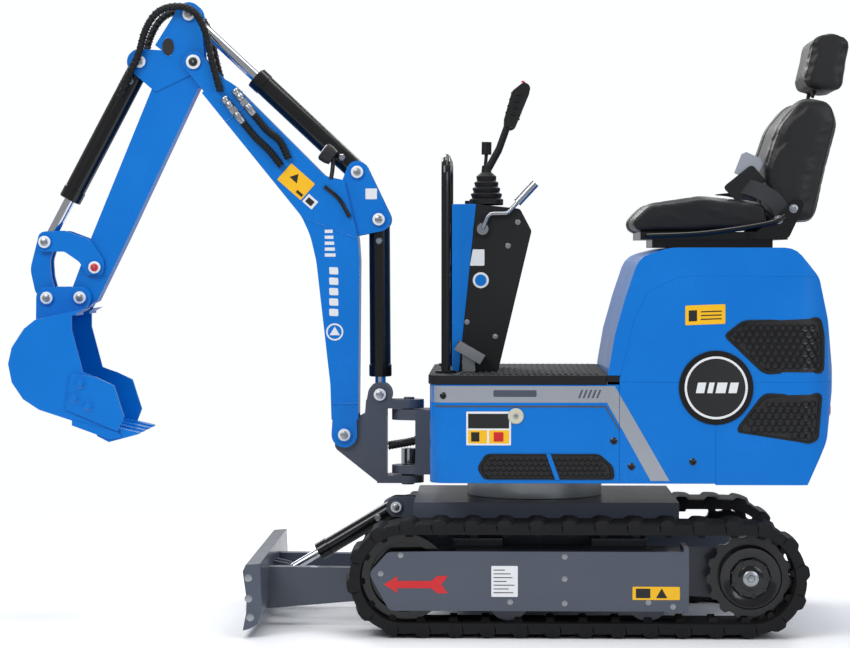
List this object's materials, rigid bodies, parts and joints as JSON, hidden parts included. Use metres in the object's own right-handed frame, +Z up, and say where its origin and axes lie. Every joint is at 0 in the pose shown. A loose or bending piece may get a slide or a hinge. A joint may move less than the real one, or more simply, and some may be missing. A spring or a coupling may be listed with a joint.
{
  "type": "mini excavator",
  "caption": "One-tonne rubber-tracked mini excavator with dozer blade, swing boom, arm and toothed bucket, open operator's seat.",
  "frame": {"origin": "centre of the bounding box in plan, on the ground under the tracks", "axes": "+Z up, +X to the rear of the machine, +Y to the operator's right"},
  "size_m": [2.3105, 0.93, 1.72],
  "materials": {
    "blue_paint": "gloss",
    "slate_paint": "semi-gloss",
    "black_paint": "gloss",
    "chrome": "polished",
    "track_rubber": "matte",
    "black_plastic": "matte",
    "steel": "brushed",
    "vinyl": "satin",
    "engine_block": "matte"
  },
  "bodies": {
    "undercarriage": {"carbody": "slate_paint", "track_frame_left": "slate_paint", "track_frame_right": "slate_paint", "idler_left": "black_paint", "idler_right": "black_paint", "sprocket_left": "slate_paint", "sprocket_right": "slate_paint", "track_left": "track_rubber", "track_right": "track_rubber", "slew_ring": "steel"},
    "blade": {"blade": "slate_paint"},
    "blade_cylinder": {"blade_cylinder": "black_paint"},
    "blade_cylinder_rod": {"blade_cylinder_rod": "chrome"},
    "house": {"slew_platform": "slate_paint", "front_skirt": "blue_paint", "floor_plate": "track_rubber", "lower_panel_left": "blue_paint", "lower_panel_right": "blue_paint", "counterweight": "blue_paint", "side_panel_left": "blue_paint", "side_panel_right": "blue_paint", "rear_panel": "blue_paint", "engine": "engine_block", "console": "black_plastic", "console_front": "blue_paint", "guard_rail": "black_paint", "joystick_left": "track_rubber", "joystick_right": "track_rubber", "travel_levers": "black_plastic", "blade_lever": "steel", "pedal_left": "steel", "pedal_right": "steel", "swing_cylinder": "black_paint"},
    "hood": {"hood": "blue_paint", "seat_cushion": "vinyl", "seat_back": "vinyl", "headrest": "vinyl", "seat_frame": "black_paint"},
    "swing_cylinder_rod": {"swing_cylinder_rod": "chrome"},
    "swing_bracket": {"swing_bracket": "slate_paint"},
    "boom": {"boom": "blue_paint", "arm_hose_left": "track_rubber", "arm_hose_right": "track_rubber"},
    "boom_cylinder": {"boom_cylinder": "black_paint"},
    "boom_cylinder_rod": {"boom_cylinder_rod": "chrome"},
    "arm_cylinder": {"arm_cylinder": "black_paint"},
    "arm_cylinder_rod": {"arm_cylinder_rod": "chrome"},
    "arm": {"arm": "blue_paint"},
    "bucket_cylinder": {"bucket_cylinder": "black_paint"},
    "bucket_cylinder_rod": {"bucket_cylinder_rod": "chrome"},
    "guide_link": {"guide_link": "blue_paint"},
    "bucket_link": {"bucket_link": "blue_paint"},
    "bucket": {"bucket": "blue_paint"}
  },
  "joints": [
    {"name": "slew", "type": "hinge", "parent": "undercarriage", "child": "house", "pos_m": [0.3, 0, 0.4], "axis": [0, 0, 1], "continuous": true},
    {"name": "boom_swing", "type": "hinge", "parent": "house", "child": "swing_bracket", "pos_m": [-0.055, 0, 0.5], "axis": [0, 0, 1], "range_deg": [-50, 50]},
    {"name": "boom", "type": "hinge", "parent": "swing_bracket", "child": "boom", "pos_m": [-0.231, 0, 0.513], "axis": [0, 1, 0], "range_deg": [-100, 0]},
    {"name": "arm", "type": "hinge", "parent": "boom", "child": "arm", "pos_m": [-0.651, 0, 1.552], "axis": [0, -1, 0], "range_deg": [-98, 20], "deforming": ["arm_hose_left", "arm_hose_right"]},
    {"name": "bucket", "type": "hinge", "parent": "arm", "child": "bucket", "pos_m": [-0.968, 0, 0.896], "axis": [0, -1, 0], "range_deg": [-45, 100]},
    {"name": "blade", "type": "hinge", "parent": "undercarriage", "child": "blade", "pos_m": [0.03, 0, 0.12], "axis": [0, 1, 0], "range_deg": [-16, 19]},
    {"name": "hood", "type": "hinge", "parent": "house", "child": "hood", "pos_m": [1.048, 0, 0.957], "axis": [0, 1, 0], "range_deg": [0, 50]},
    {"name": "swing_rod_slide", "type": "slide", "parent": "house", "child": "swing_cylinder_rod", "axis": [-1, 0, 0], "range_m": [-0.0699, 0.0699]},
    {"name": "boom_cylinder_pivot", "type": "hinge", "parent": "boom", "child": "boom_cylinder", "pos_m": [-0.135, 0, 1.114], "axis": [0, 1, 0], "range_deg": [-2.93, 0.3]},
    {"name": "boom_rod_slide", "type": "slide", "parent": "boom_cylinder", "child": "boom_cylinder_rod", "axis": [0.0061, 0, -1], "range_m": [-0.001, 0.2295]},
    {"name": "arm_cylinder_pivot", "type": "hinge", "parent": "boom", "child": "arm_cylinder", "pos_m": [-0.195, 0, 1.246], "axis": [0, -1, 0], "range_deg": [-4.52, 1.16]},
    {"name": "arm_rod_slide", "type": "slide", "parent": "arm_cylinder", "child": "arm_cylinder_rod", "axis": [-0.7308, 0, 0.6826], "range_m": [-0.2004, 0.0417]},
    {"name": "guide_pivot", "type": "hinge", "parent": "arm", "child": "guide_link", "pos_m": [-0.929, 0, 0.98], "axis": [0, -1, 0], "range_deg": [-24.96, 55.11]},
    {"name": "knuckle", "type": "hinge", "parent": "guide_link", "child": "bucket_link", "pos_m": [-1.069, 0, 1.051], "axis": [0, -1, 0], "range_deg": [-18.25, 8.38]},
    {"name": "bucket_cylinder_pivot", "type": "hinge", "parent": "arm", "child": "bucket_cylinder", "pos_m": [-0.803, 0, 1.554], "axis": [0, -1, 0], "range_deg": [-2.02, 4.12]},
    {"name": "bucket_rod_slide", "type": "slide", "parent": "bucket_cylinder", "child": "bucket_cylinder_rod", "axis": [-0.4675, 0, -0.884], "range_m": [-0.0623, 0.1371]},
    {"name": "blade_cylinder_pivot", "type": "hinge", "parent": "undercarriage", "child": "blade_cylinder", "pos_m": [-0.087, 0, 0.31], "axis": [0, 1, 0], "range_deg": [-16.65, 19.71]},
    {"name": "blade_rod_slide", "type": "slide", "parent": "blade_cylinder", "child": "blade_cylinder_rod", "axis": [-0.8573, 0, -0.5149], "range_m": [-0.0737, 0.0622]}
  ],
  "couplings": [
    {"joint": "swing_rod_slide", "follows": "boom_swing", "m_per_rad": 0.079},
    {"joint": "boom_cylinder_pivot", "follows": "boom", "ratio": 0.0263},
    {"joint": "boom_rod_slide", "follows": "boom", "m_per_rad": -0.13091},
    {"joint": "arm_cylinder_pivot", "follows": "arm", "ratio": 0.0431},
    {"joint": "arm_rod_slide", "follows": "arm", "m_per_rad": 0.11657},
    {"joint": "guide_pivot", "follows": "bucket", "ratio": 0.5481},
    {"joint": "knuckle", "follows": "bucket", "ratio": -0.1795},
    {"joint": "bucket_cylinder_pivot", "follows": "bucket", "ratio": 0.0382},
    {"joint": "bucket_rod_slide", "follows": "bucket", "m_per_rad": 0.078},
    {"joint": "blade_cylinder_pivot", "follows": "blade", "ratio": 1.0218},
    {"joint": "blade_rod_slide", "follows": "blade", "m_per_rad": -0.21932}
  ]
}
